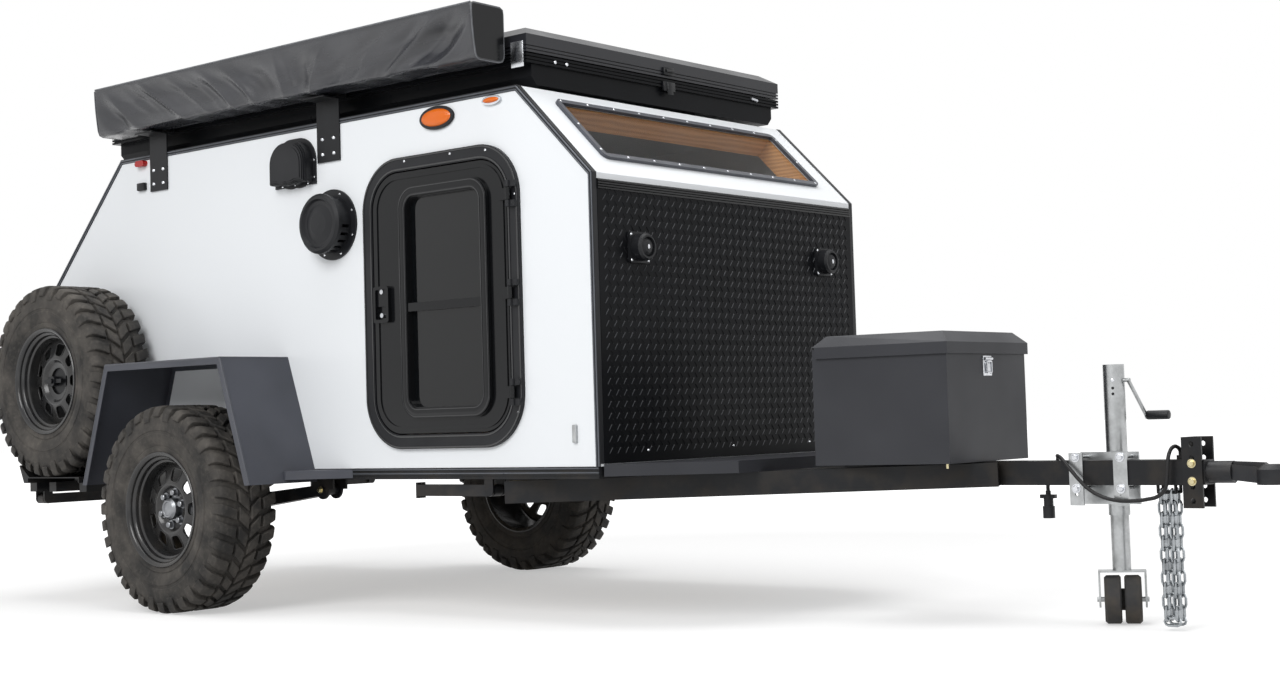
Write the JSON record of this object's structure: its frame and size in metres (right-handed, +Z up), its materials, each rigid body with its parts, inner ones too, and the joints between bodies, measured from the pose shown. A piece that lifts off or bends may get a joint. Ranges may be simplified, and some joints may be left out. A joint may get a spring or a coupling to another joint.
{
  "type": "travel trailer",
  "caption": "Small off-road travel trailer with sloped cabin, roof tent, side awning bag, toolbox, spare wheel and jack, towed by a ball coupler.",
  "frame": {"origin": "on the ground under the middle of the whole trailer", "axes": "+X towards the hitch, +Y to the trailer's left, +Z up"},
  "size_m": [5.195, 2.205, 2.112],
  "materials": {
    "black_steel": "satin black paint",
    "coupler_black": "satin black paint over cast steel",
    "floor_board": "sealed board",
    "white_skin": "satin white panel skin",
    "diamond_plate": "black tread plate",
    "black_plastic": "grained black plastic",
    "tinted_glass": "tinted clear",
    "grey_moulding": "dark grey anodised",
    "charcoal_steel": "textured charcoal powder coat",
    "amber_lens": "amber lens",
    "red_lens": "red lens",
    "awning_cover": "grey coated cloth",
    "tent_shell": "grained black shell",
    "mattress_cloth": "grey woven cover",
    "tyre_rubber": "dusty black rubber",
    "rim_black": "satin black",
    "hub_grey": "dull grey",
    "door_black": "satin black",
    "zinc_steel": "zinc plated",
    "leg_steel": "satin black paint",
    "jack_tyre": "solid black rubber",
    "cord_jacket": "black jacket"
  },
  "bodies": {
    "trailer": {"chassis": "black_steel", "drawbar": "black_steel", "hitch_channel": "black_steel", "coupler": "coupler_black", "suspension": "black_steel", "floor": "floor_board", "wall_right": "white_skin", "wall_left": "white_skin", "front_panel": "white_skin", "stone_guard": "diamond_plate", "front_slope": "white_skin", "slope_window_frame": "black_plastic", "slope_window_glass": "tinted_glass", "roof": "white_skin", "rear_panel": "white_skin", "edge_mouldings": "grey_moulding", "bottom_trim": "black_plastic", "door_frame_right": "black_plastic", "door_frame_left": "black_plastic", "fender_right": "charcoal_steel", "fender_left": "charcoal_steel", "hood_vent": "black_plastic", "round_vent": "black_plastic", "amber_lamps": "amber_lens", "red_lamps": "red_lens", "front_lamps": "black_plastic", "awning_brackets": "black_steel", "awning_bag": "awning_cover", "tent_base": "tent_shell", "tent_mattress": "mattress_cloth", "spare_tyre": "tyre_rubber", "spare_rim": "rim_black", "spare_carrier": "black_steel", "deck": "charcoal_steel", "toolbox": "charcoal_steel", "jack_body": "zinc_steel", "safety_chains": "zinc_steel", "wiring_cord": "cord_jacket", "wiring_plug": "black_plastic", "leg_mounts": "black_steel"},
    "wheel_right": {"tyre_right": "tyre_rubber", "rim_right": "rim_black", "hub_right": "hub_grey"},
    "wheel_left": {"tyre_left": "tyre_rubber", "rim_left": "rim_black", "hub_left": "hub_grey"},
    "door_right": {"door_right": "door_black", "door_glass_right": "tinted_glass"},
    "door_left": {"door_left": "door_black", "door_glass_left": "tinted_glass"},
    "hatch": {"hatch": "white_skin"},
    "toolbox_lid": {"toolbox_lid": "charcoal_steel"},
    "tent_lid": {"tent_lid": "tent_shell"},
    "jack_leg": {"jack_leg": "zinc_steel"},
    "jack_wheels": {"jack_wheels": "jack_tyre"},
    "front_leg_right": {"front_leg_right": "leg_steel"},
    "front_leg_left": {"front_leg_left": "leg_steel"},
    "rear_leg_right": {"rear_leg_right": "leg_steel"},
    "rear_leg_left": {"rear_leg_left": "leg_steel"}
  },
  "joints": [
    {"name": "wheel_right_spin", "type": "hinge", "parent": "trailer", "child": "wheel_right", "pos_m": [-1.3175, -0.97, 0.393], "axis": [0, 1, 0], "continuous": true},
    {"name": "wheel_left_spin", "type": "hinge", "parent": "trailer", "child": "wheel_left", "pos_m": [-1.3175, 0.97, 0.393], "axis": [0, 1, 0], "continuous": true},
    {"name": "door_right_swing", "type": "hinge", "parent": "trailer", "child": "door_right", "pos_m": [0.2575, -0.79, 1.12], "axis": [0, 0, 1], "range_deg": [0, 170]},
    {"name": "door_left_swing", "type": "hinge", "parent": "trailer", "child": "door_left", "pos_m": [0.2575, 0.79, 1.12], "axis": [0, 0, -1], "range_deg": [0, 170]},
    {"name": "hatch_lift", "type": "hinge", "parent": "trailer", "child": "hatch", "pos_m": [-2.08397, 0, 1.78033], "axis": [0, 1, 0], "range_deg": [0, 62]},
    {"name": "toolbox_lid_lift", "type": "hinge", "parent": "trailer", "child": "toolbox_lid", "pos_m": [1.1475, 0, 0.89212], "axis": [0, -1, 0], "range_deg": [0, 85]},
    {"name": "tent_lid_lift", "type": "hinge", "parent": "trailer", "child": "tent_lid", "pos_m": [-2.1815, 0.03, 1.9505], "axis": [0, -1, 0], "range_deg": [0, 30]},
    {"name": "jack_leg_slide", "type": "slide", "parent": "trailer", "child": "jack_leg", "axis": [0, 0, 1], "range_m": [0, 0.14]},
    {"name": "jack_wheels_spin", "type": "hinge", "parent": "jack_leg", "child": "jack_wheels", "pos_m": [2.0175, 0.093, 0.075], "axis": [0.8988, 0.4384, 0], "continuous": true},
    {"name": "front_leg_right_swing", "type": "hinge", "parent": "trailer", "child": "front_leg_right", "pos_m": [0.1025, -0.727, 0.45], "axis": [0, -1, 0], "range_deg": [0, 90]},
    {"name": "front_leg_left_swing", "type": "hinge", "parent": "trailer", "child": "front_leg_left", "pos_m": [0.1025, 0.727, 0.45], "axis": [0, -1, 0], "range_deg": [0, 90]},
    {"name": "rear_leg_right_swing", "type": "hinge", "parent": "trailer", "child": "rear_leg_right", "pos_m": [-2.4075, -0.9, 0.418], "axis": [-1, 0, 0], "range_deg": [0, 90]},
    {"name": "rear_leg_left_swing", "type": "hinge", "parent": "trailer", "child": "rear_leg_left", "pos_m": [-2.4075, 0.9, 0.418], "axis": [1, 0, 0], "range_deg": [0, 90]}
  ]
}
